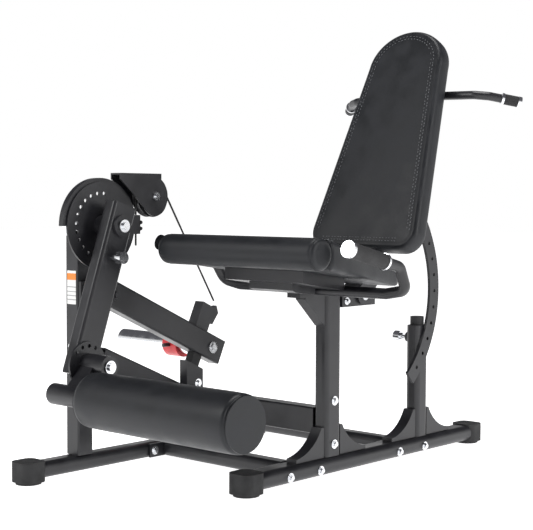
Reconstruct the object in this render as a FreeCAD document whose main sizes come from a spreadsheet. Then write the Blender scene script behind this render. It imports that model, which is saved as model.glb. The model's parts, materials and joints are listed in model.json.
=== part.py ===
import FreeCAD, Part
import math
import os
import Sketcher

from FreeCAD import Placement, Rotation, Vector

# Leg extension machine with a plate-loaded lever. X is to the sitter's left, Y to the rear, Z up.
# Places are written in the layout frame of the driving dimensions. LAYOUT_X and LAYOUT_Y carry
# them to the part's origin, which is the middle of the foot print on the floor.

doc = FreeCAD.newDocument("leg_extension_machine")
sheet = doc.addObject("Spreadsheet::Sheet", "Sizes")

DIMENSIONS = {
    # layout
    "layout_x": 17.25, "layout_y": -87.0, "gap": 0.4, "running": 0.05, "wall": 3.0,
    # base
    "rail_width": 60.0, "rail_height": 40.0, "rail_corner": 16.0, "rail_centre_z": 30.0,
    "rail_left_x": 218.0, "rail_left_front_y": -383.0, "rail_left_rear_y": 500.0,
    "rail_right_x": -236.0, "rail_right_front_y": -638.0, "rail_right_rear_y": -150.0,
    "bar_depth": 50.0, "front_bar_y": -213.0, "rear_bar_y": 206.0, "rear_bar_end_x": -300.0,
    "bar_plate": 5.0, "bar_plate_long": 140.0, "bar_plate_tall": 34.0,
    "boot_width": 68.0, "boot_long": 64.0, "boot_height": 47.0, "boot_corner": 20.0,
    "foot_pad_radius": 30.0, "foot_pad_height": 5.0,
    # posts
    "post_width": 40.0, "post_depth": 60.0, "post_corner": 14.0, "post_y": -100.0, "post_top_z": 434.0,
    "rear_post_width": 39.2, "rear_post_depth": 50.0, "rear_post_y": 263.0, "rear_post_top_z": 338.0,
    "bumper_height": 22.0, "gusset_thick": 30.0, "gusset_foot": 100.0, "gusset_rise": 72.0,
    "gusset_lip": 9.0, "cross_tube_depth": 40.0, "cross_tube_height": 63.0, "cross_tube_y": -110.0,
    "cross_tube_z": 134.5, "upright_side": 45.0, "upright_corner": 4.0, "upright_y": -485.0,
    # drum and arm
    "axle_y": -480.0, "axle_z": 598.0, "axle_radius": 12.0, "hub_radius": 25.0,
    "drum_radius": 103.0, "drum_plate": 5.0, "drum_x": -163.0, "drum_hole_ring": 76.0,
    "drum_hole_radius": 4.6, "hole_count": 12.0, "hole_step": 15.2, "rim_outer": 112.0,
    "rim_inner": 100.0, "rim_width": 15.0,
    "arm_width": 38.0, "arm_depth": 70.0, "arm_corner": 8.0, "arm_x": -109.0, "arm_angle": -18.8,
    "arm_above": 50.0, "arm_below": 355.0, "arm_boss": 25.0, "pin_radius": 4.2,
    "roller_hinge": 329.0, "hinge_bolt": 8.0, "sector_radius": 52.0, "sector_ring": 42.0,
    "sector_step": 26.5, "barrel_radius": 25.0, "roller_axis_y": -645.0, "roller_axis_z": 222.0,
    "roller_tube": 24.0, "spindle_radius": 12.0, "roller_radius": 61.0, "roller_core": 18.0,
    "roller_start_x": 2.0, "roller_long": 458.0,
    # pulley
    "pulley_y": -318.5, "pulley_z": 667.0, "pulley_radius": 50.0, "groove_radius": 44.2,
    "pulley_width": 20.0, "pulley_x": -167.0, "cable_radius": 2.5, "cable_x": -167.0,
    "bracket_plate": 4.0, "pulley_bolt": 8.0,
    # lever
    "lever_y": -446.0, "lever_z": 433.3, "lever_angle": -25.0, "lever_width": 40.0,
    "lever_depth": 64.0, "lever_corner": 6.0, "lever_front": 18.0, "lever_long": 414.0,
    "lever_x": -168.0, "lever_bolt": 10.0, "sleeve_along": 359.3, "sleeve_radius": 25.0,
    "sleeve_long": 297.0, "collar_radius": 33.0, "collar_long": 50.0, "collar_x": -300.0,
    "horn_along": 285.0, "horn_long": 45.0, "horn_height": 65.0, "horn_width": 30.0,
    # seat and backrest
    "seat_x": 218.0, "seat_half": 228.0, "seat_rear_half": 160.0, "roll_radius": 35.0,
    "roll_y": -403.0, "roll_z": 546.0, "roll_long": 469.0, "tray_width": 237.0,
    "seat_datum_z": 434.0,
    "hinge_y": 5.0, "hinge_z": 430.0, "recline": -21.6, "back_thick": 50.0, "back_half_low": 163.0,
    "back_half_high": 112.0, "arc_radius": 295.0, "arc_half": 19.0, "arc_plate": 7.6, "arc_step": 8.2,
    "grip_radius": 17.0, "bar_radius": 12.5, "upper_bar_radius": 10.5, "upper_grip_radius": 13.0,
    "bolt_head": 7.5, "bolt_height": 6.0, "washer_radius": 11.0, "washer_height": 1.6,
}
for row, (alias, number) in enumerate(DIMENSIONS.items(), 1):
    sheet.set(f"A{row}", alias)
    sheet.set(f"B{row}", str(number))
    sheet.setAlias(f"B{row}", alias)
doc.recompute()


class Size:
    """A number together with the spreadsheet expression that it comes from."""

    def __init__(self, value, text=None):
        self.value = float(value)
        self.text = text or f"({self.value:.6f})"

    def __add__(self, other):
        other = size(other)
        return Size(self.value + other.value, f"({self.text} + {other.text})")

    def __sub__(self, other):
        other = size(other)
        return Size(self.value - other.value, f"({self.text} - {other.text})")

    def __mul__(self, other):
        other = size(other)
        return Size(self.value * other.value, f"({self.text} * {other.text})")

    def __truediv__(self, other):
        other = size(other)
        return Size(self.value / other.value, f"({self.text} / {other.text})")

    def __neg__(self):
        return Size(-self.value, f"(0 - {self.text})")

    __radd__ = __add__

    def __rsub__(self, other):
        return size(other) - self

    __rmul__ = __mul__

    def __float__(self):
        return self.value


def size(item):
    """The Size of an alias, of a number, or of a Size."""
    if isinstance(item, Size):
        return item
    if isinstance(item, str):
        return Size(sheet.get(item), f"Sizes.{item}")
    return Size(item)


def bind(target, name, item):
    target.setExpression(name, size(item).text)


def at(x, y, z, turn=0.0, axis=Vector(1, 0, 0)):
    """The placement of a layout point, turned about an axis."""
    base = Vector(float(size(x)) - float(size("layout_x")), float(size(y)) - float(size("layout_y")),
                  float(size(z)))
    return Placement(base, Rotation(axis, float(size(turn))))


NODES = []


def new_body(label, where):
    body = doc.addObject("PartDesign::Body", label)
    body.Label = label
    body.Placement = where
    NODES.append(body)
    return body


def new_sketch(body, role):
    sketch = body.newObject("Sketcher::SketchObject", body.Name + "_sketch")
    sketch.AttachmentSupport = [(next(f for f in body.Origin.OriginFeatures if f.Role == role), "")]
    sketch.MapMode = "FlatFace"
    return sketch


def fix_point(sketch, edge, end, u, v):
    """Ties a point's two coordinates to the sheet."""
    for kind, item in (("DistanceX", u), ("DistanceY", v)):
        index = sketch.addConstraint(Sketcher.Constraint(kind, -1, 1, edge, end, float(item)))
        sketch.setExpression(f"Constraints[{index}]", item.text)


def outline(sketch, corners):
    """A closed outline. A corner (u, v, r) is reached by an arc of radius r; r < 0 bends the other way."""
    points = [(size(c[0]), size(c[1])) for c in corners]
    edges = []
    for index, corner in enumerate(corners):
        start = Vector(float(points[index - 1][0]), float(points[index - 1][1]), 0)
        finish = Vector(float(points[index][0]), float(points[index][1]), 0)
        if len(corner) == 2:
            edges.append((sketch.addGeometry(Part.LineSegment(start, finish)), 1, 2))
            continue
        radius = size(corner[2])
        chord = finish - start
        reach = math.sqrt(max(float(radius) ** 2 - (chord.Length / 2) ** 2, 0))
        side = Vector(-chord.y, chord.x, 0).normalize() * (reach if float(radius) > 0 else -reach)
        centre = (start + finish) / 2 + side
        first, last = (start, finish) if float(radius) > 0 else (finish, start)
        angles = [math.atan2((p - centre).y, (p - centre).x) for p in (first, last)]
        circle = Part.Circle(centre, Vector(0, 0, 1), abs(float(radius)))
        edge = sketch.addGeometry(Part.ArcOfCircle(circle, angles[0], angles[1]))
        index_r = sketch.addConstraint(Sketcher.Constraint("Radius", edge, abs(float(radius))))
        sketch.setExpression(f"Constraints[{index_r}]", f"abs({radius.text})")
        edges.append((edge, 1, 2) if float(radius) > 0 else (edge, 2, 1))
    for index, (edge, _, end) in enumerate(edges):
        following = edges[(index + 1) % len(edges)]
        sketch.addConstraint(Sketcher.Constraint("Coincident", edge, end, following[0], following[1]))
        fix_point(sketch, edge, end, *points[index])


def rounded_rectangle(sketch, width, height, corner):
    """A rectangle about the sketch's origin with round corners."""
    u, v, r = size(width) / 2, size(height) / 2, size(corner)
    outline(sketch, [(u - r, -v), (u, r - v, r), (u, v - r), (u - r, v, r),
                     (r - u, v), (-u, v - r, r), (-u, r - v), (r - u, -v, r)])


def circle(sketch, u, v, radius):
    u, v, radius = size(u), size(v), size(radius)
    edge = sketch.addGeometry(Part.Circle(Vector(float(u), float(v), 0), Vector(0, 0, 1), float(radius)))
    index = sketch.addConstraint(Sketcher.Constraint("Radius", edge, float(radius)))
    sketch.setExpression(f"Constraints[{index}]", radius.text)
    fix_point(sketch, edge, 3, u, v)


def pad(body, sketch, length, both=False, back=False):
    feature = body.newObject("PartDesign::Pad", body.Name + "_pad")
    feature.Profile = sketch
    feature.Midplane = both
    feature.Reversed = back
    bind(feature, "Length", length)
    return feature


def pocket(body, sketch, length, both=True, back=False):
    doc.recompute()
    feature = body.newObject("PartDesign::Pocket", body.Name + "_pocket")
    feature.Profile = sketch
    feature.Midplane = both
    feature.Reversed = back
    bind(feature, "Length", length)
    return feature


def tube(label, role, width, height, corner, length, where, back=False):
    """A hollow tube: its section on one origin plane, padded along that plane's normal."""
    body = new_body(label, where)
    sketch = new_sketch(body, role)
    rounded_rectangle(sketch, width, height, corner)
    inside = size(corner) - "wall"
    rounded_rectangle(sketch, size(width) - size("wall") * 2, size(height) - size("wall") * 2, inside)
    pad(body, sketch, length, back=back)
    return body


def drill(body, holes, length, role="YZ_Plane"):
    """Round holes (u, v, radius) through a body, square to one of its planes."""
    sketch = new_sketch(body, role)
    for hole in holes:
        circle(sketch, *hole)
    pocket(body, sketch, length)


def plate(label, corners, thick, where, holes=(), role="YZ_Plane", both=False):
    body = new_body(label, where)
    sketch = new_sketch(body, role)
    outline(sketch, corners)
    for hole in holes:
        circle(sketch, *hole)
    pad(body, sketch, thick, both=both)
    return body


def turned(label, steps, where):
    """A round piece along X: steps of (start x, end x, outer radius, bore radius) on one axis."""
    body = new_body(label, where)
    for start, end, outer, bore in steps:
        sketch = new_sketch(body, "YZ_Plane")
        bind(sketch, "AttachmentOffset.Base.z", start)
        circle(sketch, 0, 0, outer)
        if float(size(bore)) > 0:
            circle(sketch, 0, 0, bore)
        pad(body, sketch, size(end) - start)
    return body


def group(label, members):
    """Separate solids that share one node."""
    compound = doc.addObject("Part::Compound", label)
    compound.Label = label
    compound.Links = members
    for member in members:
        if member in NODES:
            NODES.remove(member)
    NODES.append(compound)
    return compound


TOWARD = {"+x": Rotation(Vector(0, 1, 0), 90), "-x": Rotation(Vector(0, 1, 0), -90),
          "+y": Rotation(Vector(1, 0, 0), -90), "+z": Rotation()}


def bolt(x, y, z, toward, head="bolt_head", washer="washer_radius"):
    """A washer and a hexagon head on a face, pointing away from it."""
    where = at(x, y, z)
    where.Rotation = TOWARD[toward]
    disc = doc.addObject("Part::Cylinder", "washer")
    disc.Placement = where
    bind(disc, "Radius", washer)
    bind(disc, "Height", "washer_height")
    nut = doc.addObject("Part::Prism", "hexagon")
    nut.Placement = where
    bind(nut, "Circumradius", head)
    bind(nut, "Height", size("bolt_height"))
    dome = doc.addObject("Part::Cylinder", "dome")
    dome.Placement = where
    bind(dome, "Radius", size(head) * 0.7)
    bind(dome, "Height", size("bolt_height") + 2)
    whole = doc.addObject("Part::MultiFuse", "bolt")
    whole.Shapes = [disc, nut, dome]
    return whole


def box(x0, x1, y0, y1, z0, z1, turn=0.0, about=(0, 0)):
    """A block between layout limits, turned about an X axis through (y, z)."""
    solid = doc.addObject("Part::Box", "block")
    for name, low, high in (("Length", x0, x1), ("Width", y0, y1), ("Height", z0, z1)):
        bind(solid, name, size(high) - low)
    local = Placement(Vector(float(size(x0)), float(size(y0)), float(size(z0))), Rotation())
    solid.Placement = at(0, about[0], about[1], turn) * local
    return solid


def bent_rod(label, points, radius, bend):
    """A round rod along straight runs joined by tangent arcs; points are layout points."""
    places = [at(*p).Base for p in points]
    edges = []
    start = places[0]
    for before, corner, after in zip(places, places[1:], places[2:]):
        inward = (before - corner).normalize()
        outward = (after - corner).normalize()
        half = inward.getAngle(outward) / 2
        setback = bend / math.tan(half)
        first = corner + inward * setback
        last = corner + outward * setback
        centre = corner + (inward + outward).normalize() * (bend / math.sin(half))
        middle = centre + (corner - centre).normalize() * bend
        edges.append(Part.LineSegment(start, first).toShape())
        edges.append(Part.Arc(first, middle, last).toShape())
        start = last
    edges.append(Part.LineSegment(start, places[-1]).toShape())
    path = Part.Wire(edges)
    normal = (places[1] - places[0]).normalize()
    ring = Part.Wire([Part.Circle(places[0], normal, float(size(radius))).toShape()])
    solid = path.makePipeShell([ring], True, True)
    piece = doc.addObject("Part::Feature", label)
    piece.Label = label
    piece.Shape = solid
    piece.Placement = Placement()
    NODES.append(piece)
    return piece


def rod(start, finish, radius, bore=0.0):
    """A straight round rod or tube between two layout points."""
    a, b = at(*start).Base, at(*finish).Base
    solid = doc.addObject("Part::Cylinder", "rod")
    bind(solid, "Radius", radius)
    solid.Height = (b - a).Length
    solid.Placement = Placement(a, Rotation(Vector(0, 0, 1), b - a))
    if float(size(bore)) == 0:
        return solid
    hollow = doc.addObject("Part::Cylinder", "bore")
    bind(hollow, "Radius", bore)
    hollow.Height = (b - a).Length
    hollow.Placement = solid.Placement
    ring = doc.addObject("Part::Cut", "sleeve")
    ring.Base = solid
    ring.Tool = hollow
    return ring


# The seat, its handles and the backrest are drawn for a post of seat_datum_z and ride on the real one.
lift = size("post_top_z") - "seat_datum_z"
hinge_height = size("hinge_z") + lift

# ---------------------------------------------------------------- base frame
tube("rail_left", "XZ_Plane", "rail_width", "rail_height", "rail_corner",
     size("rail_left_rear_y") - "rail_left_front_y", at("rail_left_x", "rail_left_rear_y", "rail_centre_z"))
tube("rail_right", "XZ_Plane", size("rail_width") - 10, size("rail_height") - 2, "post_corner",
     size("rail_right_rear_y") - "rail_right_front_y",
     at("rail_right_x", "rail_right_rear_y", size("rail_centre_z") - 1))

half_left = size("rail_width") / 2
bar_start = size("rail_right_x") + (size("rail_width") - 10) / 2 + "bar_plate"
bar_end = size("rail_left_x") - half_left - "bar_plate"
bar_z = size("rail_centre_z") - 1
front_bar = tube("front_crossbar", "YZ_Plane", "bar_depth", size("rail_height") - 2, "post_corner",
                 bar_end - bar_start, at(bar_start, "front_bar_y", bar_z))
rear_bar = tube("rear_crossbar", "YZ_Plane", "bar_depth", size("rail_height") - 2, "post_corner",
                bar_end - "rear_bar_end_x", at("rear_bar_end_x", "rear_bar_y", bar_z))
group("crossbars", [front_bar, rear_bar])


def end_plate(x, y):
    half = size("bar_plate_long") / 2
    tall = size("bar_plate_tall") / 2
    return box(x, size(x) + "bar_plate", size(y) - half, size(y) + half, bar_z - tall, bar_z + tall)


group("crossbar_plates", [end_plate(bar_end, "front_bar_y"), end_plate(bar_end, "rear_bar_y"),
                          end_plate(bar_start - "bar_plate", "front_bar_y")])


def boot(label, x, y, turn, width, height):
    """A rubber end cap that swallows the tube's end and stands on a round pad."""
    body = new_body(label, at(x, y, 0, turn, Vector(0, 0, 1)))
    sketch = new_sketch(body, "XY_Plane")
    bind(sketch, "AttachmentOffset.Base.z", "foot_pad_height")
    rounded_rectangle(sketch, "boot_width", "boot_long", "boot_corner")
    pad(body, sketch, "boot_height")
    foot = new_sketch(body, "XY_Plane")
    circle(foot, 0, 0, "foot_pad_radius")
    pad(body, foot, size("foot_pad_height") + 1)
    mouth = new_sketch(body, "XZ_Plane")
    low = bar_z - size(height) / 2 if float(size(height)) < 39 else size("rail_centre_z") - size(height) / 2
    u = size(width) / 2
    top = low + height
    r = size("post_corner") if float(size(height)) < 39 else size("rail_corner")
    outline(mouth, [(u - r, low), (u, low + r, r), (u, top - r), (u - r, top, r),
                    (r - u, top), (-u, top - r, r), (-u, low + r), (r - u, low, r)])
    pocket(body, mouth, "boot_long", both=False)
    return body


group("rubber_feet", [
    boot("foot_front_left", "rail_left_x", "rail_left_front_y", 0, "rail_width", "rail_height"),
    boot("foot_rear_left", "rail_left_x", "rail_left_rear_y", 180, "rail_width", "rail_height"),
    boot("foot_front_right", "rail_right_x", "rail_right_front_y", 0, size("rail_width") - 10,
         size("rail_height") - 2),
    boot("foot_rear_right", "rear_bar_end_x", "rear_bar_y", -90, "bar_depth", size("rail_height") - 2)])

rail_face = size("rail_left_x") + half_left
spread = size("bar_plate_long") / 2 - 16
base_bolts = ([bolt(rail_face, size(bar) + side * spread, bar_z - 3, "+x")
                     for bar in ("front_bar_y", "rear_bar_y") for side in (-1, 1)]
      + [bolt(bar_start, size("front_bar_y") - spread, bar_z, "+x")]
      + [bolt(bar_end, size(bar) + side * spread, bar_z, "-x")
                for bar in ("front_bar_y", "rear_bar_y") for side in (-1, 1)])

# ---------------------------------------------------------------- posts
rail_top = size("rail_centre_z") + size("rail_height") / 2
tube("left_post", "XY_Plane", "post_width", "post_depth", "post_corner",
     size("post_top_z") - rail_top, at("rail_left_x", "post_y", rail_top))
rear_post = tube("rear_post", "XY_Plane", "rear_post_width", "rear_post_depth", "post_corner",
                 size("rear_post_top_z") - rail_top, at("rail_left_x", "rear_post_y", rail_top))
pin_y = float(size("hinge_y")) + float(size("arc_radius")) * math.cos(math.radians(-25.4))
pin_z = float(hinge_height) + float(size("arc_radius")) * math.sin(math.radians(-25.4))
drill(rear_post, [(size(pin_y) - "rear_post_y", size(pin_z) - rail_top, size("pin_radius") + "running")], 80)


def gusset(y, side):
    """A concave foot gusset welded between a rail's top and a post's face."""
    foot, rise, lip = size("gusset_foot"), size("gusset_rise"), size("gusset_lip")
    body = doc.addObject("PartDesign::Body", "gusset")
    body.Placement = at("rail_left_x", y, rail_top)
    sketch = new_sketch(body, "YZ_Plane")
    reach = foot * side
    if side > 0:
        outline(sketch, [(0, 0), (reach, 0), (reach, lip), (lip, rise, -foot * 1.15), (0, rise)])
    else:
        outline(sketch, [(0, 0), (reach, 0), (reach, lip), (-lip, rise, foot * 1.15), (0, rise)])
    pad(body, sketch, "gusset_thick", both=True)
    return body


post_half, rear_half = size("post_depth") / 2, size("rear_post_depth") / 2
top_gusset = plate("post_top_gusset", [(-70, 71), (-70, 66), (0, 0), (0, 71)], "gusset_thick",
      at("rail_left_x", size("post_y") - post_half, size("post_top_z") - 71), both=True)
group("post_gussets", [gusset(size("post_y") - post_half, -1), gusset(size("post_y") + post_half, 1),
                       gusset(size("rear_post_y") - rear_half, -1), gusset(size("rear_post_y") + rear_half, 1),
                       top_gusset])
post_bumper = turned("post_bumper", [(0, "bumper_height", size("rear_post_width") / 2 - 2, 0)],
       at("rail_left_x", "rear_post_y", size("rear_post_top_z"), -90, Vector(0, 1, 0)))
face_x = size("rail_left_x") + size("post_width") / 2
post_bolts = [bolt(face_x, size("post_y") + 2, z, "+x") for z in (183, 79)]

tube("cross_tube", "YZ_Plane", "cross_tube_depth", "cross_tube_height", 5,
     size("rail_left_x") - size("post_width") / 2 - "rail_right_x" - 23,
     at(size("rail_right_x") + 23, "cross_tube_y", "cross_tube_z"))
tube("right_upright", "XY_Plane", "upright_side", "upright_side", "upright_corner",
     size("axle_z") - "hub_radius" - rail_top + 2, at("rail_right_x", "upright_y", rail_top - 2))
upright_face = size("rail_right_x") + size("upright_side") / 2
group("upright_label", [box(size("rail_right_x") - 16, size("rail_right_x") + 16,
                            size("upright_y") - size("upright_side") / 2 - 0.8,
                            size("upright_y") - size("upright_side") / 2, 410, 490)])

# The strut runs from the upright down to the cross tube; the lever's stop stands on its side.
strut_slope = -23.9
tube("strut", "XZ_Plane", 40, 55, 6, 342, at(upright_face + 20, -463, 280, strut_slope), back=True)
strut_bolts = [bolt(upright_face + 40, -440, 272, "+x"), bolt(-148, -172, 195, "+x")]
plate("stop_post", [(-211, 130), (-154, 130), (-154, 229.7), (-211, 256.3)], 25.5, at(-173.5, 0, 0))
group("bumpers", [post_bumper, box(-173, -149, -14, 14, 0, 28.6, "lever_angle", (-182.5, 243))])

# ---------------------------------------------------------------- axle, drum and lifting arm
axle_hub = turned("axle_hub", [(-275, -179, "hub_radius", size("axle_radius"))], at(0, "axle_y", "axle_z"))
group("axle_hub_and_shaft", [axle_hub, turned("main_axle", [(-283, -275, 17, 0), (-275, -81, "axle_radius", 0), (-81, -76, 15, 0), (-76, -70, 9, 0)],
                                              at(0, "axle_y", "axle_z"))])
bore = size("axle_radius") + "running"


def ring_point(radius, degrees):
    turn = math.radians(degrees)
    return size(radius) * math.cos(turn), size(radius) * math.sin(turn)


first_hole = -108.8
drum_holes = []
for index in range(12):
    u, v = ring_point("drum_hole_ring", first_hole - index * DIMENSIONS["hole_step"])
    drum_holes.append((u, v, "drum_hole_radius"))
drum = turned("drum_plate", [("drum_x", size("drum_x") + "drum_plate", "drum_radius", bore),
                             (size("drum_x") - "rim_width", "drum_x", 24, bore)], at(0, "axle_y", "axle_z"))
holes = new_sketch(drum, "YZ_Plane")
bind(holes, "AttachmentOffset.Base.z", "drum_x")
for hole in drum_holes:
    circle(holes, *hole)
pocket(drum, holes, 30)


def sector(label, inner, outer, start, end, thick, where, extra=()):
    """A ring sector in the YZ plane between two angles."""
    a0, a1 = ring_point(outer, start), ring_point(outer, end)
    b0, b1 = ring_point(inner, start), ring_point(inner, end)
    return plate(label, [a0, (*a1, outer), b1, (*b0, -size(inner))], thick, where, extra)


sector("drum_rim", "rim_inner", "rim_outer", 15, 180, "rim_width",
       at(size("drum_x") - "rim_width", "axle_y", "axle_z"))
clamp = box(size("drum_x") - 14, "drum_x", 96, 126, -22, 24, 0, ("axle_y", "axle_z"))
group("drum_clamp", [clamp] + [bolt("cable_x", size("axle_y") + 126, size("axle_z") + z, "+y", 5, 6)
                               for z in (6, -9)])
cable_y = size("axle_y") + "rim_outer" + "cable_radius"
group("cable_tail", [rod(("cable_x", cable_y, size("axle_z") - 22), ("cable_x", cable_y, size("axle_z") - 50),
                         "cable_radius")])

arm = new_body("lifting_arm", at("arm_x", "axle_y", "axle_z", "arm_angle"))
profile = new_sketch(arm, "XY_Plane")
bind(profile, "AttachmentOffset.Base.z", -size("arm_below"))
rounded_rectangle(profile, "arm_width", "arm_depth", "arm_corner")
rounded_rectangle(profile, size("arm_width") - size("wall") * 2, size("arm_depth") - size("wall") * 2, 5)
pad(arm, profile, size("arm_below") + "arm_above")
sector_u, sector_v = ring_point("sector_ring", 75.8)
drill(arm, [(0, 0, bore), (0, -size("drum_hole_ring"), size("pin_radius") + "running"),
            (0, -size("roller_hinge"), "hinge_bolt"),
            (sector_u, sector_v - "roller_hinge", size("pin_radius") + "running")], 60)
arm_side = size("arm_x") + size("arm_width") / 2
arm_back = size("arm_x") - size("arm_width") / 2
boss = turned("arm_boss_outer", [(arm_side, -82, "arm_boss", bore)], at(0, "axle_y", "axle_z"))
spacer = turned("arm_spacer", [(size("drum_x") + "drum_plate" + "gap", arm_back, "arm_boss", bore)],
       at(0, "axle_y", "axle_z"))
group("arm_fittings", [boss, spacer] + [box(-16 + float(size("arm_x")), 16 + float(size("arm_x")), -32, 32, z, z + 3,
                       "arm_angle", ("axle_y", "axle_z")) for z in (-358, 50)])
hinge_y = float(size("axle_y")) + float(size("roller_hinge")) * math.cos(math.radians(-108.8))
hinge_z = float(size("axle_z")) + float(size("roller_hinge")) * math.sin(math.radians(-108.8))
turned("roller_hinge_bolt", [(arm_back - 6, arm_back, 13, 0), (arm_back, -7.6, "hinge_bolt", 0), (-7.6, -4, 15, 0),
                             (-4, 2, 9, 0)], at(0, hinge_y, hinge_z))


def pop_pin(label, x, y, z, shaft, side):
    """A spring pin: shaft, collar and knob, pushed along X into a hole. It rests drawn out of it."""
    steps = [(0, shaft, "pin_radius", 0), (shaft, size(shaft) + 7, 9, 0), (size(shaft) + 7, size(shaft) + 26, 14, 0)]
    turned(label, steps, at(x, y, z, 0 if side > 0 else 180, Vector(0, 0, 1)))


pin_ring = ring_point("drum_hole_ring", first_hole)
pop_pin("arm_pin", size("drum_x") + "drum_plate" + "gap", size("axle_y") + pin_ring[0],
        size("axle_z") + pin_ring[1], arm_side - "drum_x" - "drum_plate" - "gap" + 12, 1)

# ---------------------------------------------------------------- roller arm and roller
barrel = turned("roller_arm_hinge", [(arm_side + "gap", -84, "sector_radius", size("hinge_bolt") + "running"),
                                     (-84, -8, "barrel_radius", size("hinge_bolt") + "running")],
                at(0, hinge_y, hinge_z))
sector_holes = new_sketch(barrel, "YZ_Plane")
bind(sector_holes, "AttachmentOffset.Base.z", -84)
for index in range(4):
    u, v = ring_point("sector_ring", 57 + index * DIMENSIONS["sector_step"])
    circle(sector_holes, u, v, size("pin_radius") + 0.3)
pocket(barrel, sector_holes, 14)
pin2_y, pin2_z = (float(part) for part in ring_point("sector_ring", 57))
pop_pin("roller_arm_pin", arm_side - 0.05, hinge_y + pin2_y, hinge_z + pin2_z, size("arm_width") + 10, -1)

link_y = float(size("roller_axis_y")) - hinge_y
link_z = float(size("roller_axis_z")) - hinge_z
link_long = math.hypot(link_y, link_z)
link_turn = math.degrees(math.atan2(link_z, link_y))
root_in = math.sqrt(25.0 ** 2 - 18.0 ** 2)
tip_in = math.sqrt(24.0 ** 2 - 18.0 ** 2)
link = plate("roller_link", [(root_in, -18, -25), (link_long - tip_in, -18), (link_long - tip_in, 18, -24),
                      (root_in, 18)], 44, at(-80, hinge_y, hinge_z, link_turn))
group("roller_arm", [barrel, link])
roller_end = size("roller_start_x") + "roller_long"
turned("roller_spindle", [(-130, 0, "roller_tube", 0), (0, roller_end - 8, "spindle_radius", 0)],
       at(0, "roller_axis_y", "roller_axis_z"))
turned("roller_core", [("roller_start_x", roller_end, "roller_core", size("spindle_radius") + "running")],
       at(0, "roller_axis_y", "roller_axis_z"))
turned("roller_pad", [("roller_start_x", roller_end, "roller_radius", "roller_core")],
       at(0, "roller_axis_y", "roller_axis_z"))
turned("roller_end_cap", [(roller_end, roller_end + 2.5, size("roller_radius") - 4, 0)],
             at(0, "roller_axis_y", "roller_axis_z"))

# ---------------------------------------------------------------- pulley and its bracket
tube("pulley_beam", "XZ_Plane", 29, 42, 5, 112, at(-198.7, -456.3, 611.4, 29.5), back=True)
bolt_ring = size("pulley_bolt")
bracket_outline = [(-430, 718.5), (-430, 708), (-373, 657), (-343, 627),
                   (-279.5, 660, 40), (-298, 700, 42), (-298, 718.5)]
near = plate("bracket_near", bracket_outline, "bracket_plate", at(-152, 0, 0),
      [("pulley_y", "pulley_z", bolt_ring)])
far = plate("bracket_far", bracket_outline, "bracket_plate", at(-184, 0, 0), [("pulley_y", "pulley_z", bolt_ring)])
group("pulley_bracket", [near, far, box(-184, -148, -430, -298, 718.5, 722.5)])
turned("pulley_bolt_pin", [(-191, -184, 11, 0), (-184, -148, bolt_ring, 0), (-148, -142, 11, 0), (-142, -137, 6, 0)],
       at(0, "pulley_y", "pulley_z"))
wheel = new_body("pulley_wheel", at("pulley_x", "pulley_y", "pulley_z"))
rim = new_sketch(wheel, "XY_Plane")
w = size("pulley_width") / 2
outline(rim, [(-w, bolt_ring + "running"), (w, bolt_ring + "running"), (w, "pulley_radius"),
              (3, "groove_radius"), (-3, "groove_radius"), (-w, "pulley_radius")])
spin = wheel.newObject("PartDesign::Revolution", "wheel_turn")
spin.Profile = rim
spin.ReferenceAxis = (next(f for f in wheel.Origin.OriginFeatures if f.Role == "X_Axis"), [""])
spin.Angle = 360.0

# The cable is made whole along its route: up from the clamp, over the pulley, down to the lever's horn.
wrap = size("axle_y") * -1 + size("pulley_y") - "rim_outer" - "cable_radius"
wrap_radius = float(wrap)
exit_turn = math.radians(31.9)
exit_y = float(size("pulley_y")) + wrap_radius * math.cos(exit_turn)
exit_z = float(size("pulley_z")) + wrap_radius * math.sin(exit_turn)
drop = rod(("cable_x", cable_y, size("axle_z") + 24.4), ("cable_x", cable_y, "pulley_z"), "cable_radius")
over = new_body("cable_over", at("cable_x", "pulley_y", "pulley_z"))
section = new_sketch(over, "XY_Plane")
circle(section, 0, -wrap, "cable_radius")
sweep = over.newObject("PartDesign::Revolution", "cable_turn")
sweep.Profile = section
sweep.ReferenceAxis = (next(f for f in over.Origin.OriginFeatures if f.Role == "X_Axis"), [""])
sweep.Angle = 180.0 - 31.9
sweep.Reversed = True
group("cable_guided", [drop, over])
run_y, run_z = math.sin(exit_turn), -math.cos(exit_turn)
run_long = 345.0
group("cable_run", [rod(("cable_x", exit_y, exit_z),
                        ("cable_x", exit_y + run_long * run_y, exit_z + run_long * run_z), "cable_radius")])

# ---------------------------------------------------------------- weight lever
lever = new_body("weight_lever", at("lever_x", "lever_y", "lever_z", "lever_angle"))
lever_section = new_sketch(lever, "XZ_Plane")
bind(lever_section, "AttachmentOffset.Base.z", "lever_front")
rounded_rectangle(lever_section, "lever_width", "lever_depth", "lever_corner")
rounded_rectangle(lever_section, size("lever_width") - size("wall") * 2, size("lever_depth") - size("wall") * 2, 3)
pad(lever, lever_section, "lever_long", back=True)
drill(lever, [(0, 0, size("lever_bolt") + "running")], 60)
lever_side = size("lever_x") + size("lever_width") / 2
lever_far = size("lever_x") - size("lever_width") / 2
bracket = plate("lever_bracket", [(-505, 405), (-420, 405), (-420, 450), (-440, 465), (-505, 465)], 8,
      at(upright_face, 0, 0), [("lever_y", "lever_z", "lever_bolt")])
pivot = turned("lever_pivot", [(upright_face + 8, lever_far - "gap", 17, 0), (lever_far - "gap", lever_side + "gap", "lever_bolt", 0),
                       (lever_side + "gap", lever_side + 3, 13, 0), (lever_side + 3, lever_side + 9, 8, 0)],
       at(0, "lever_y", "lever_z"))
group("lever_bracket_and_bolt", [bracket, pivot])
lever_place = ("lever_y", "lever_z")
lever_rear = size("lever_long") - "lever_front"
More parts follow.
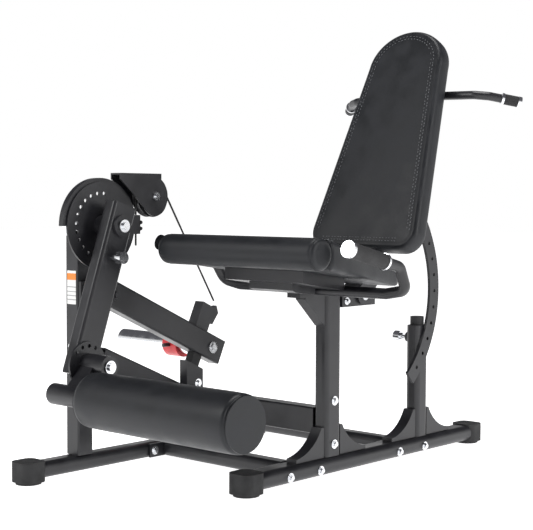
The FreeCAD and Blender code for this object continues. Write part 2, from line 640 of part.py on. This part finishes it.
group("lever_caps", [box(lever_far + 1, lever_side - 1, y, size(y) + 3, -31, 31, "lever_angle", lever_place)
                     for y in (lever_rear, -size("lever_front") - 3)])
horn_start = size("horn_along")
lever_top = size("lever_depth") / 2
horn = box(size("lever_x") - 15, size("lever_x") + 15, horn_start, horn_start + "horn_long",
                         lever_top, lever_top + "horn_height", "lever_angle", lever_place)


def lever_point(along, above):
    """A point of the lever's own side view, in layout coordinates."""
    turn = math.radians(DIMENSIONS["lever_angle"])
    y = float(size("lever_y")) + float(size(along)) * math.cos(turn) - float(size(above)) * math.sin(turn)
    z = float(size("lever_z")) + float(size(along)) * math.sin(turn) + float(size(above)) * math.cos(turn)
    return y, z


horn_back = horn_start + "horn_long"
clip = plate("cable_clip", [(horn_back, lever_top + 25), (horn_back + 16, lever_top + 25), (horn_back + 24, lever_top + 60),
                     (horn_back + 10, lever_top + 75), (horn_back, lever_top + 66)], 14,
      at(size("cable_x") - 7, "lever_y", "lever_z", "lever_angle"))
group("lever_horn", [horn, clip])
sleeve_y, sleeve_z = lever_point("sleeve_along", 0)
sleeve = turned("sleeve_tube", [(lever_far - "sleeve_long", size("collar_x") - 1, "sleeve_radius",
                                 size("sleeve_radius") - "wall"),
                                (size("collar_x") - 1, lever_far - 10, size("sleeve_radius") - 0.5,
                                 size("sleeve_radius") - "wall"),
                         (lever_far - 10, lever_far, size("sleeve_radius") + 5, 0)], at(0, sleeve_y, sleeve_z))
plug = turned("sleeve_plug", [(lever_side, lever_side + 4, 14.5, 0), (lever_side + 4, lever_side + 7, 8, 0)],
       at(0, sleeve_y, sleeve_z))
group("weight_sleeve", [sleeve, plug])
collar = turned("spring_collar", [("collar_x", size("collar_x") + "collar_long", "collar_radius",
                                   size("sleeve_radius") + "running")], at(0, sleeve_y, sleeve_z))
collar_middle = size("collar_x") + size("collar_long") / 2
group("collar_pin", [rod((collar_middle, sleeve_y - float(size("collar_radius")) , sleeve_z),
                         (collar_middle, sleeve_y - float(size("collar_radius")) - 20, sleeve_z), 5)])

# ---------------------------------------------------------------- seat
seat_bottom_front, seat_bottom_rear = 510.0, 457.0
pad_front = size("roll_y") + "roll_radius"
seat = plate("seat_pad", [(pad_front, seat_bottom_front), (-20, seat_bottom_rear), (-10, 499), (pad_front, 579)],
             size("seat_half") * 2, at("seat_x", 0, lift), both=True)
taper = new_sketch(seat, "XY_Plane")
for side in (1, -1):
    outline(taper, [(size("seat_half") * side, pad_front), (size("seat_rear_half") * side, 6),
                    (size("seat_rear_half") * side, 60), ((size("seat_half") + 40) * side, 60),
                    ((size("seat_half") + 40) * side, pad_front)])
pocket(seat, taper, 1400)
turned("seat_roll", [(-size("roll_long") / 2, size("roll_long") / 2, "roll_radius", 0)],
       at("seat_x", "roll_y", size("roll_z") + lift))
slope = (seat_bottom_rear - seat_bottom_front) / (-20 - float(pad_front))


def under_pad(y, drop=0.0):
    return seat_bottom_front + slope * (y - float(pad_front)) - drop


tray = plate("seat_tray_box", [(-330, under_pad(-330, 27)), (-186, under_pad(-186, 27)), (-186, under_pad(-186, 0.2)),
                    (-330, under_pad(-330, 0.2))], "tray_width", at("seat_x", 0, lift), both=True)
tray_low = 27.0
brace = plate("seat_brace", [(-305, under_pad(-305, tray_low)), (-305, 458), (-290, 452), (-225, 445),
                     (-225, under_pad(-225, tray_low))], 130, at("seat_x", 0, lift), both=True)
group("seat_tray", [tray, brace])
plate("seat_beam", [(-225, 434), (-70, 434), (-70, 404), (58, 404), (58, 452), (-100, 452),
                    (-100, 444.5), (-115, under_pad(-115, tray_low)), (-225, under_pad(-225, tray_low))], 39,
      at("seat_x", 0, lift), [("hinge_y", "hinge_z", 8)], both=True)
beam_side = size("seat_x") + 19.5
seat_bolts = [bolt(beam_side, y, size(z) + lift, "+x", 6, 9) for y, z in ((-98, 445), (-53, 418))]
group("frame_bolts", base_bolts + post_bolts + strut_bolts + seat_bolts)
turned("back_hinge_bolt", [(-32, -27.5, 12, 0), (-27.5, 27.5, 8, 0), (27.5, 32, 12, 0)],
       at("seat_x", "hinge_y", hinge_height))

# One bent tube under the seat carries both hand grips.
cap_y, ring_y = -380.0, -253.0
cap_z, ring_z = 559.0 + float(lift), 528.0 + float(lift)
low_z = 452.0 + float(lift)
mirror_x = float(size("seat_x"))
grip_x = 283.0
knee_y = -200.0
knee_z = ring_z + (cap_z - 2 - ring_z) / (cap_y + 8 - ring_y) * (knee_y - ring_y)


def mirrored(points):
    return [(2 * mirror_x - x, y, z) for x, y, z in points]


side_run = [(mirror_x + grip_x, ring_y, ring_z), (mirror_x + grip_x, knee_y, knee_z), (mirror_x + grip_x - 6, -168, low_z + 10),
            (mirror_x + grip_x - 60, -168, low_z), (mirror_x + 20, -168, low_z)]
group("handle_bar", [bent_rod(label, run, "bar_radius", 22.0) for label, run in
                     (("handle_bar_left", side_run), ("handle_bar_right", mirrored(side_run)))])


def grip_set(prefix, start, end, radius, cap):
    """Grip sleeves, end caps and rings on both sides, between two layout points of the left one."""
    a, b = Vector(*start), Vector(*end)
    along = (b - a).normalize()
    spans = {"grips": [(a + along * 6, b, radius)],
             "chrome": [(a, a + along * 6, size(radius) + 1.5), (b, b + along * 9, cap)]}
    for name, pieces in spans.items():
        both_sides = []
        for low, high, wide in pieces:
            for first, last in ([tuple(low), tuple(high)], mirrored([tuple(low), tuple(high)])):
                both_sides.append(rod(first, last, wide))
        group(f"{prefix}_{name}", both_sides)


grip_set("handle", (mirror_x + grip_x, ring_y, ring_z), (mirror_x + grip_x, cap_y + 8, cap_z - 2),
         "grip_radius", size("grip_radius") + 1.5)

# ---------------------------------------------------------------- backrest
# Its own frame has the hinge at the origin and Z up the back of the pad.
back_at = at("seat_x", "hinge_y", hinge_height, "recline")
back_turn = math.radians(DIMENSIONS["recline"])
front_off = (27 + 0.395 * (430 - 591) - 5) * math.cos(back_turn)
low_z_back = 108.0
high_z_back = 697.0
pad_back = new_body("back_pad", back_at)
face = new_sketch(pad_back, "XZ_Plane")
bind(face, "AttachmentOffset.Base.z", -(size(front_off) + "back_thick"))
lo, hi = size("back_half_low"), size("back_half_high")
outline(face, [(-lo + 40, low_z_back, 48), (lo - 40, low_z_back), (lo, low_z_back + 45, 48),
               (hi, high_z_back - 95), (-hi, high_z_back - 95, hi * 1.02), (-lo, low_z_back + 45)])
pad(pad_back, face, "back_thick")
frame_front = front_off + float(size("back_thick"))
frame = tube("back_frame", "XY_Plane", 40, 40, 6, 471.5, back_at * Placement(Vector(0, frame_front + 20, 60), Rotation()))
ear = [(-22, 10), (-22, 0), (0, -22, 22), (22, 0, 22), (frame_front + 40, 60), (frame_front + 40, 110),
       (frame_front, 110), (frame_front, 78)]
group("back_ears", [plate(label, ear, 6, back_at * Placement(Vector(x, 0, 0), Rotation()), [(0, 0, 8.1)])
                    for label, x in (("back_ear_left", 20), ("back_ear_right", -26))])
arc_offset = float(size("rail_left_x")) + 20 - float(size("seat_x"))
arc_holes = []
for index in range(9):
    u, v = ring_point("arc_radius", 22.7 + 21.6 + 1.1 - index * DIMENSIONS["arc_step"])
    arc_holes.append((u, v, size("pin_radius") + 0.4))
sector("arc_plate", size("arc_radius") - "arc_half", size("arc_radius") + "arc_half", -49 + 21.6, 80, "arc_plate",
       back_at * Placement(Vector(arc_offset, 0, 0), Rotation()), arc_holes)
group("pin_housing", [rod((float(size("rail_left_x")) - 19.6, pin_y, pin_z),
                          (float(size("rail_left_x")) - 36, pin_y, pin_z), 13, size("pin_radius") + "running")])
pop_pin("backrest_pin", float(size("rail_left_x")) + 19.6, pin_y, pin_z, 68, -1)

bar_z = 921.0 + float(lift)
upper = [(mirror_x + 182, 240, bar_z - 2), (mirror_x + 213, 258.25, bar_z - 5.375),
         (mirror_x + 234, 280, bar_z - 11)]
crossing = mirrored(upper)
bent_rod("upper_bar", [upper[-1], upper[-2], upper[-3], (mirror_x + 100, 238, bar_z), (mirror_x - 100, 238, bar_z)]
         + [crossing[-3], crossing[-2], crossing[-1]], "upper_bar_radius", 18.0)
grip_set("upper", upper[-1], (mirror_x + 262, 309, bar_z - 18.5), "upper_grip_radius", size("upper_grip_radius") + 0.5)

# ---------------------------------------------------------------- check every object and write the nodes
doc.recompute()
for item in doc.Objects:
    if "Invalid" in item.State or "Error" in item.State:
        raise RuntimeError(f"{item.Name} failed: {item.State}")
os.makedirs("parts", exist_ok=True)
for node in NODES:
    if node.Shape.isNull() or not node.Shape.isValid():
        raise RuntimeError(f"{node.Label} has no valid shape")
    node.Shape.exportStep(f"parts/{node.Label}.step")
bounds = FreeCAD.BoundBox()
for node in NODES:
    bounds.add(node.Shape.BoundBox)
print("nodes", len(NODES), "bounds", bounds)
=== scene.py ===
import json
import math

import bmesh
import bpy
from mathutils import Matrix, Vector


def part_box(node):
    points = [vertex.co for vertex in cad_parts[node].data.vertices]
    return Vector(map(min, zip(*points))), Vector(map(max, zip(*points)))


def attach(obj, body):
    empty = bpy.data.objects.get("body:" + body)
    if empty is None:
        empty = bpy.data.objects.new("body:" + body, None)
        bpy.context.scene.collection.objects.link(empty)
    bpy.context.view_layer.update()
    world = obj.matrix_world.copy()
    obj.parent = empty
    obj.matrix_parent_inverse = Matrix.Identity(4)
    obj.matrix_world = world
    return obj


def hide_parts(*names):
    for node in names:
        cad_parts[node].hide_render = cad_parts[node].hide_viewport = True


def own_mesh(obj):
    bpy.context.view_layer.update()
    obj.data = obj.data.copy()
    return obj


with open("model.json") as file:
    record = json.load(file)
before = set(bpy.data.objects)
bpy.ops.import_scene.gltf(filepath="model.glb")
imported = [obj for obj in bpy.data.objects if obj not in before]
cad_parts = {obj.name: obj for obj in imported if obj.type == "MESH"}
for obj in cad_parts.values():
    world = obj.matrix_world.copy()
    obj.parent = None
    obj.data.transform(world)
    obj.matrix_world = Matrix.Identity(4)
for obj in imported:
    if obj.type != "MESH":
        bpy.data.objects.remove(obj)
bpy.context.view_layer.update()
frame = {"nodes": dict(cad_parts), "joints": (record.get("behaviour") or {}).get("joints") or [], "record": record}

nodes = frame["nodes"]
slots = {part["node"]: part["material_slot"] for part in frame["record"]["subparts"]}


# ---- Materials: each is a Principled surface with a procedural colour, roughness and bump.
def new_material(name, color, roughness, metallic=0.0):
    material = bpy.data.materials.new(name)
    material.use_nodes = True
    shader = material.node_tree.nodes["Principled BSDF"]
    shader.inputs["Base Color"].default_value = (*color, 1)
    shader.inputs["Roughness"].default_value = roughness
    shader.inputs["Metallic"].default_value = metallic
    return material, material.node_tree, shader


def texture(tree, kind, scale, **inputs):
    """A noise or Voronoi texture in object space."""
    place = tree.nodes.new("ShaderNodeTexCoord")
    node = tree.nodes.new(kind)
    node.inputs["Scale"].default_value = scale
    for name, value in inputs.items():
        node.inputs[name].default_value = value
    tree.links.new(place.outputs["Object"], node.inputs["Vector"])
    return node


def bump(tree, shader, height, strength, distance, under=None):
    node = tree.nodes.new("ShaderNodeBump")
    node.inputs["Strength"].default_value = strength
    node.inputs["Distance"].default_value = distance
    tree.links.new(height, node.inputs["Height"])
    if under:
        tree.links.new(under.outputs["Normal"], node.inputs["Normal"])
    tree.links.new(node.outputs["Normal"], shader.inputs["Normal"])
    return node


def vary(tree, shader, source, name, low, high):
    """Drives a colour or a roughness between two values by a texture."""
    ramp = tree.nodes.new("ShaderNodeValToRGB")
    for element, value in zip(ramp.color_ramp.elements, (low, high)):
        element.color = (*value, 1) if isinstance(value, tuple) else (value, value, value, 1)
    ramp.color_ramp.elements[0].position = 0.35
    ramp.color_ramp.elements[1].position = 0.65
    tree.links.new(source, ramp.inputs["Fac"])
    tree.links.new(ramp.outputs["Color"], shader.inputs[name])


def powder_coat():
    """Semi-gloss black powder coat: a fine orange peel and faint unevenness."""
    material, tree, shader = new_material("powder_coat", (0.012, 0.012, 0.014), 0.34)
    peel = texture(tree, "ShaderNodeTexNoise", 900, Detail=2)
    cloud = texture(tree, "ShaderNodeTexNoise", 14, Detail=2)
    bump(tree, shader, peel.outputs["Fac"], 0.12, 0.0004)
    vary(tree, shader, cloud.outputs["Fac"], "Roughness", 0.29, 0.40)
    vary(tree, shader, cloud.outputs["Fac"], "Base Color", (0.009, 0.009, 0.011), (0.017, 0.017, 0.02))
    return material


def chrome():
    """Bright plating with faint wiping marks."""
    material, tree, shader = new_material("chrome", (0.78, 0.79, 0.81), 0.14, 1.0)
    mark = texture(tree, "ShaderNodeTexNoise", 60, Detail=2)
    vary(tree, shader, mark.outputs["Fac"], "Roughness", 0.09, 0.22)
    bump(tree, shader, mark.outputs["Fac"], 0.05, 0.0003)
    return material


def leatherette():
    """Black upholstery vinyl: pebble grain over soft wrinkles, with a little sheen."""
    material, tree, shader = new_material("leatherette", (0.012, 0.013, 0.016), 0.44)
    shader.inputs["Specular IOR Level"].default_value = 0.32
    grain = texture(tree, "ShaderNodeTexVoronoi", 620)
    fold = texture(tree, "ShaderNodeTexNoise", 22, Detail=2)
    low = bump(tree, shader, fold.outputs["Fac"], 0.10, 0.004)
    bump(tree, shader, grain.outputs["Distance"], 0.25, 0.0006, low)
    vary(tree, shader, fold.outputs["Fac"], "Roughness", 0.40, 0.52)
    vary(tree, shader, fold.outputs["Fac"], "Base Color", (0.008, 0.009, 0.011), (0.014, 0.015, 0.018))
    return material


def rubber(name, color, scale):
    """Moulded rubber and grip foam: matt, with fine pores."""
    material, tree, shader = new_material(name, color, 0.72)
    pore = texture(tree, "ShaderNodeTexVoronoi", scale)
    bump(tree, shader, pore.outputs["Distance"], 0.3, 0.0006)
    dust = texture(tree, "ShaderNodeTexNoise", 30, Detail=4)
    vary(tree, shader, dust.outputs["Fac"], "Roughness", 0.64, 0.8)
    return material


def red_coat():
    """Glossy red paint on the spring collar."""
    material, tree, shader = new_material("red_coat", (0.62, 0.02, 0.03), 0.3)
    shade = texture(tree, "ShaderNodeTexNoise", 80, Detail=3)
    vary(tree, shader, shade.outputs["Fac"], "Base Color", (0.55, 0.015, 0.02), (0.70, 0.03, 0.04))
    bump(tree, shader, shade.outputs["Fac"], 0.08, 0.0004)
    return material


def wire_rope():
    """Black coated wire rope with a slanting strand pattern."""
    material, tree, shader = new_material("wire_rope", (0.03, 0.03, 0.03), 0.4, 0.6)
    strand = texture(tree, "ShaderNodeTexWave", 260)
    bump(tree, shader, strand.outputs["Fac"], 0.5, 0.0006)
    return material


def thread():
    """Grey sewing thread, twisted."""
    material, tree, shader = new_material("thread", (0.17, 0.175, 0.185), 0.6)
    twist = texture(tree, "ShaderNodeTexWave", 1500)
    bump(tree, shader, twist.outputs["Fac"], 0.4, 0.0003)
    return material


def label():
    """A white sticker with an orange band at its top and faint grey lines where print would be."""
    material, tree, shader = new_material("label", (0.85, 0.85, 0.83), 0.4)
    low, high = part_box("upright_label")
    place = tree.nodes.new("ShaderNodeTexCoord")
    split = tree.nodes.new("ShaderNodeSeparateXYZ")
    tree.links.new(place.outputs["Object"], split.inputs["Vector"])
    height = tree.nodes.new("ShaderNodeMapRange")
    height.inputs["From Min"].default_value = low[2]
    height.inputs["From Max"].default_value = high[2]
    tree.links.new(split.outputs["Z"], height.inputs["Value"])
    ramp = tree.nodes.new("ShaderNodeValToRGB")
    ramp.color_ramp.interpolation = "CONSTANT"
    white, orange, grey = (0.82, 0.82, 0.80, 1), (0.85, 0.25, 0.03, 1), (0.35, 0.35, 0.36, 1)
    bands = [(0.0, white), (0.12, grey), (0.15, white), (0.24, grey), (0.27, white), (0.36, grey),
             (0.39, white), (0.5, grey), (0.53, white), (0.72, orange), (0.92, white)]
    for index, (position, color) in enumerate(bands):
        points = ramp.color_ramp.elements
        element = points[index] if index < 2 else points.new(position)
        element.position = position
        element.color = color
    tree.links.new(height.outputs["Result"], ramp.inputs["Fac"])
    tree.links.new(ramp.outputs["Color"], shader.inputs["Base Color"])
    return material


materials = {
    "black_powder_coat": powder_coat(), "chrome": chrome(), "leatherette": leatherette(),
    "rubber": rubber("rubber", (0.014, 0.014, 0.015), 1400), "red_coat": red_coat(),
    "label": label(), "cable": wire_rope(),
}
sewing = thread()
for name, node in nodes.items():
    node.data.materials.clear()
    node.data.materials.append(materials[slots[name]])


# ---- Mesh helpers
def add_mesh(name, points, faces, material, body):
    """A smooth-shaded mesh object with merged points and outward faces, riding on a body."""
    mesh = bpy.data.meshes.new(name)
    mesh.from_pydata([tuple(p) for p in points], [], faces)
    piece = bpy.data.objects.new(name, mesh)
    bpy.context.scene.collection.objects.link(piece)
    build = bmesh.new()
    build.from_mesh(mesh)
    bmesh.ops.remove_doubles(build, verts=build.verts, dist=1e-5)
    bmesh.ops.recalc_face_normals(build, faces=build.faces)
    build.to_mesh(mesh)
    build.free()
    mesh.materials.append(material)
    for face in mesh.polygons:
        face.use_smooth = True
    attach(piece, body)
    return piece


def loft(loops):
    """Points and faces of a skin through closed loops that all have as many points."""
    count = len(loops[0])
    points = [p for loop in loops for p in loop]
    faces = []
    for ring in range(len(loops) - 1):
        for k in range(count):
            a, b = ring * count + k, ring * count + (k + 1) % count
            faces.append((a, b, b + count, a + count))
    faces.append(tuple(range(count))[::-1])
    faces.append(tuple(range((len(loops) - 1) * count, len(loops) * count)))
    return points, faces


def resample(points, count):
    """Evenly spaced points along a closed outline."""
    closed = points + points[:1]
    lengths = [(b - a).length for a, b in zip(closed, closed[1:])]
    total = sum(lengths)
    result = []
    for k in range(count):
        target = total * k / count
        for (a, b), length in zip(zip(closed, closed[1:]), lengths):
            if target <= length:
                result.append(a.lerp(b, target / max(length, 1e-9)))
                break
            target -= length
    return result


def corner_arc(centre, radius, start, end, steps=10):
    """Points of an arc in a flat outline, with its angles in degrees."""
    return [centre + radius * Vector((math.cos(t), math.sin(t)))
            for t in [math.radians(start + (end - start) * k / steps) for k in range(steps + 1)]]


def inset(points, distance):
    """The outline moved inwards; it runs counter-clockwise."""
    moved = []
    for before, point, after in zip(points[-1:] + points[:-1], points, points[1:] + points[:1]):
        along = (after - before).normalized()
        moved.append(point + Vector((-along.y, along.x)) * distance)
    return moved


def cushion(name, outline, thickness, place, body, crown):
    """A sewn pad: flat back, boxed side with a seam at each edge, crowned face."""
    middle = sum(outline, Vector((0, 0))) / len(outline)
    # Each step is how far the outline moves inwards, and the share of the thickness.
    profile = [(0.030, 0.0), (0.010, 0.0), (0.003, 0.05), (0.0, 0.14), (-0.0005, 0.45), (0.0, 0.74),
               (0.0025, 0.86), (0.006, 0.94), (0.010, 0.975), (0.0125, 0.955), (0.015, 0.985), (0.024, 1.0)]
    loops = []
    for shift, share in profile:
        loops.append([place(p.x, p.y, thickness * share) for p in inset(outline, shift)])
    last = inset(outline, profile[-1][0])
    for k in (0.86, 0.7, 0.5, 0.3, 0.12):
        lift = crown * (1 - k * k)
        loops.append([place(*(middle + (p - middle) * k), thickness + lift) for p in last])
    points, faces = loft(loops)
    piece = add_mesh(name, points, faces, materials["leatherette"], body)
    smooth = piece.modifiers.new("smooth", "SUBSURF")
    smooth.levels = 1
    smooth.render_levels = 1
    return piece


def stitch_row(name, route, body, dash=0.0045, gap=0.003, width=0.0007):
    """Separate stitches along a closed route, as small pointed bars lying on the surface."""
    points, faces = [], []
    sides = 6
    closed = route + route[:1]
    offset = 0.0
    for a, b in zip(closed, closed[1:]):
        length = (b - a).length
        along = (b - a) / max(length, 1e-9)
        side = along.orthogonal().normalized()
        other = along.cross(side)
        while offset + dash < length:
            low, high = a + along * offset, a + along * (offset + dash)
            base = len(points)
            bar = ((low, 0.4), (low.lerp(high, 0.25), 1), (low.lerp(high, 0.75), 1), (high, 0.4))
            for centre, wide in bar:
                for k in range(sides):
                    t = k * math.tau / sides
                    points.append(centre + (side * math.cos(t) + other * math.sin(t)) * width * wide)
            for ring in range(len(bar) - 1):
                for k in range(sides):
                    p, q = base + ring * sides + k, base + ring * sides + (k + 1) % sides
                    faces.append((p, q, q + sides, p + sides))
            offset += dash + gap
        offset = max(offset - length, 0.0)
    piece = add_mesh(name, points, faces, sewing, body)
    return piece


def lathe(name, stations, centre, material, body, segments=96):
    """A round piece about an X axis: stations of (x, radius)."""
    loops = []
    for x, radius in stations:
        loops.append([Vector((x, centre[0] + radius * math.cos(k * math.tau / segments),
                              centre[1] + radius * math.sin(k * math.tau / segments)))
                      for k in range(segments)])
    points, faces = loft(loops)
    return add_mesh(name, points, faces, material, body)


# ---- Seat cushion: a tapered boxed pad that slopes down to the rear.
low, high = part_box("seat_pad")
centre_x = (low[0] + high[0]) / 2
half_front = (high[0] - low[0]) / 2 - 0.002
half_rear = half_front - 0.062
front_y, rear_y = low[1] + 0.002, high[1] - 0.014
seat_round = 0.030
front_round = 0.008
seat_thick = 0.055
seat_stitch_depth = 0.0556


def seat_place(x, y, depth):
    share = (y - front_y) / (rear_y - front_y)
    bottom = high[2] - 0.069 + (low[2] - high[2] + 0.069) * share
    top = high[2] - 0.001 + (low[2] + 0.042 - high[2]) * share
    return Vector((x, y, bottom + (top - bottom) * depth / seat_thick))


seat_corners = (
    corner_arc(Vector((centre_x + half_rear - seat_round, rear_y - seat_round)), seat_round, 10, 90)
    + corner_arc(Vector((centre_x - half_rear + seat_round, rear_y - seat_round)), seat_round, 90, 170)
    + corner_arc(Vector((centre_x - half_front + front_round, front_y + front_round)), front_round, 190, 270)
    + corner_arc(Vector((centre_x + half_front - front_round, front_y + front_round)), front_round, 270, 350))
seat_outline = resample(seat_corners, 220)
seat = cushion("seat_cushion", seat_outline, seat_thick, seat_place, "frame", 0.004)
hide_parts("seat_pad")
for index, shift in enumerate((0.020, 0.027)):
    route = [seat_place(p.x, p.y, seat_stitch_depth) for p in inset(seat_outline, shift)]
    stitch_row(f"seat_stitch_{index}", route, "frame")

# ---- Front roll: a foam roll with sewn round ends and a piping ring near each end.
low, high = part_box("seat_roll")
roll = 0.5 * (high[2] - low[2])
middle = ((low[1] + high[1]) / 2, (low[2] + high[2]) / 2)
x0, x1 = low[0], high[0]
roll_end = 0.016
ends = [(0.0005, roll - 0.014), (0.0, roll - 0.009), (0.003, roll - 0.0035), (0.007, roll - 0.001),
        (0.0085, roll - 0.0025), (0.010, roll - 0.001), (roll_end, roll)]
stations = [(x0 + x, r) for x, r in ends]
stations += [(x0 + roll_end + (x1 - x0 - 2 * roll_end) * k / 12, roll) for k in range(1, 12)]
stations += [(x1 - x, r) for x, r in reversed(ends)]
seat_roll = lathe("seat_front_roll", stations, middle, materials["leatherette"], "frame")
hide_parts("seat_roll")

# ---- Shin roller: thick foam under vinyl, with a sewn end panel.
low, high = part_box("roller_pad")
radius = 0.5 * (high[2] - low[2])
middle = ((low[1] + high[1]) / 2, (low[2] + high[2]) / 2)
x0, x1 = low[0], high[0]
roller_end = 0.040
ends = [(0.0, radius - 0.030), (0.0, radius - 0.010), (0.0015, radius - 0.005), (0.004, radius - 0.0018),
        (0.0055, radius - 0.003), (0.007, radius - 0.001), (0.014, radius), (roller_end, radius + 0.0005)]
stations = [(x0 + x, r) for x, r in ends]
stations += [(x0 + roller_end + (x1 - x0 - 2 * roller_end) * k / 12, radius + 0.0006)
             for k in range(1, 12)]
stations += [(x1 - x, r) for x, r in reversed(ends)]
roller = lathe("shin_roller", stations, middle, materials["leatherette"], "roller")
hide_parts("roller_pad")
nodes["roller_end_cap"].data.materials[0] = materials["leatherette"]

# ---- Backrest: a tapering pad with a round top, leaning back on its frame.
joint = next(j for j in frame["joints"] if j["name"] == "backrest_recline")
hinge = Vector(joint["pos_m"])
lean = math.radians(21.6)
rearward = Vector((0, math.cos(lean), -math.sin(lean)))
upward = Vector((0, math.sin(lean), math.cos(lean)))
pad_back = 0.0113
back_thick = 0.049
back_stitch_depth = 0.0497


def back_place(x, up, depth):
    return hinge + Vector((x, 0, 0)) + upward * up + rearward * (pad_back - depth)


back_low, back_high, half_low, half_high = 0.108, 0.697, 0.163, 0.112
low_corner, top_rise, top_steps = 0.046, 0.100, 40
right_side = corner_arc(Vector((half_low - 0.047, back_low + 0.047)), low_corner, -90, 5)
top = [Vector((half_high * math.cos(t), back_high - top_rise + top_rise * math.sin(t)))
       for t in [math.pi * k / top_steps for k in range(top_steps + 1)]]
left_side = [Vector((-p.x, p.y)) for p in reversed(right_side)]
back_outline = resample(right_side + top + left_side, 260)
back = cushion("back_cushion", back_outline, back_thick, back_place, "backrest", 0.004)
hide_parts("back_pad")
for index, shift in enumerate((0.019, 0.026)):
    route = [back_place(p.x, p.y, back_stitch_depth) for p in inset(back_outline, shift)]
    stitch_row(f"back_stitch_{index}", route, "backrest")

# ---- Cable: the free run from the pulley to the lever's horn, which shortens as the lever rises.
low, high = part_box("cable_run")
cable = 0.0024
cable_rings, cable_sides, strands = 46, 24, 6
top_end = Vector(((low[0] + high[0]) / 2, low[1] + 0.0022, high[2] - 0.0014))
low_end = Vector(((low[0] + high[0]) / 2, high[1] - 0.0022, low[2] + 0.0014))
along = (low_end - top_end).normalized()
side = Vector((1, 0, 0))
other = along.cross(side)
loops = []
for k in range(cable_rings + 1):
    centre = top_end.lerp(low_end, k / cable_rings)
    ring = []
    for j in range(cable_sides):
        t = j * math.tau / cable_sides
        wide = cable * (1 + 0.05 * math.cos(strands * t + k))
        ring.append(centre + (side * math.cos(t) + other * math.sin(t)) * wide)
    loops.append(ring)
points, faces = loft(loops)
run = add_mesh("free_cable", points, faces, materials["cable"], "cable_free_run")
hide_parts("cable_run")
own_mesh(run)

# ---- Floor, light and camera
# The floor gives off as much white light as the low sky, so that it stays pale.
floor_mesh = bpy.data.meshes.new("floor")
floor_mesh.from_pydata([(-20, -20, 0), (20, -20, 0), (20, 20, 0), (-20, 20, 0)], [], [(0, 1, 2, 3)])
floor = bpy.data.objects.new("floor", floor_mesh)
bpy.context.scene.collection.objects.link(floor)
paper, paper_tree, paper_shader = new_material("paper", (0.95, 0.95, 0.95), 0.9)
paper_noise = texture(paper_tree, "ShaderNodeTexNoise", 3, Detail=2)
vary(paper_tree, paper_shader, paper_noise.outputs["Fac"], "Roughness", 0.85, 0.95)
paper_shader.inputs["Emission Color"].default_value = (1, 1, 1, 1)
paper_shader.inputs["Emission Strength"].default_value = 1.0
floor_mesh.materials.append(paper)

world = bpy.data.worlds.new("studio")
bpy.context.scene.world = world
world.use_nodes = True
# The sky is white near the horizon, as a backdrop, and darker overhead, so that plating has contrast.
tree = world.node_tree
direction = tree.nodes.new("ShaderNodeTexCoord")
split = tree.nodes.new("ShaderNodeSeparateXYZ")
sky = tree.nodes.new("ShaderNodeValToRGB")
tree.links.new(direction.outputs["Generated"], split.inputs["Vector"])
tree.links.new(split.outputs["Z"], sky.inputs["Fac"])
tree.links.new(sky.outputs["Color"], tree.nodes["Background"].inputs["Color"])
sky.color_ramp.elements[0].position = 0.20
sky.color_ramp.elements[0].color = (1, 1, 1, 1)
sky.color_ramp.elements[1].position = 0.34
sky.color_ramp.elements[1].color = (0.10, 0.10, 0.11, 1)


def area_light(name, place, target, power, width, height):
    light = bpy.data.lights.new(name, "AREA")
    light.shape = "RECTANGLE"
    light.size = width
    light.size_y = height
    light.energy = power
    lamp = bpy.data.objects.new(name, light)
    lamp.location = place
    lamp.rotation_euler = (Vector(target) - Vector(place)).to_track_quat("-Z", "Y").to_euler()
    bpy.context.scene.collection.objects.link(lamp)


aim = (0, 0, 0.5)
area_light("key", (-1.6, -3.2, 2.6), aim, 60, 1.4, 1.8)
area_light("side", (3.4, 0.8, 1.8), aim, 45, 0.8, 2.4)
area_light("top", (0.3, 0.2, 3.4), aim, 50, 2.0, 1.2)

# The camera is ahead of the machine, to the sitter's left and higher than the seat.
# It looks slightly down.
camera_place = (2.14275, -2.373, 0.660)
lens = bpy.data.cameras.new("view")
lens.lens = 86.9
lens.sensor_width = 36
camera = bpy.data.objects.new("view", lens)
bpy.context.scene.collection.objects.link(camera)
bpy.context.scene.camera = camera
yaw, pitch, roll_turn = math.radians(42.2), math.radians(2.905), math.radians(-0.198)
forward = Vector((-math.sin(yaw) * math.cos(pitch), math.cos(yaw) * math.cos(pitch), -math.sin(pitch)))
right = Vector((math.cos(yaw), math.sin(yaw), 0))
down = forward.cross(right)
turned_right = right * math.cos(roll_turn) + down * math.sin(roll_turn)
turned_down = down * math.cos(roll_turn) - right * math.sin(roll_turn)
camera.matrix_world = Matrix.Translation(camera_place) @ Matrix(
    (turned_right, -turned_down, -forward)).transposed().to_4x4()
bpy.context.scene.view_settings.view_transform = "Standard"
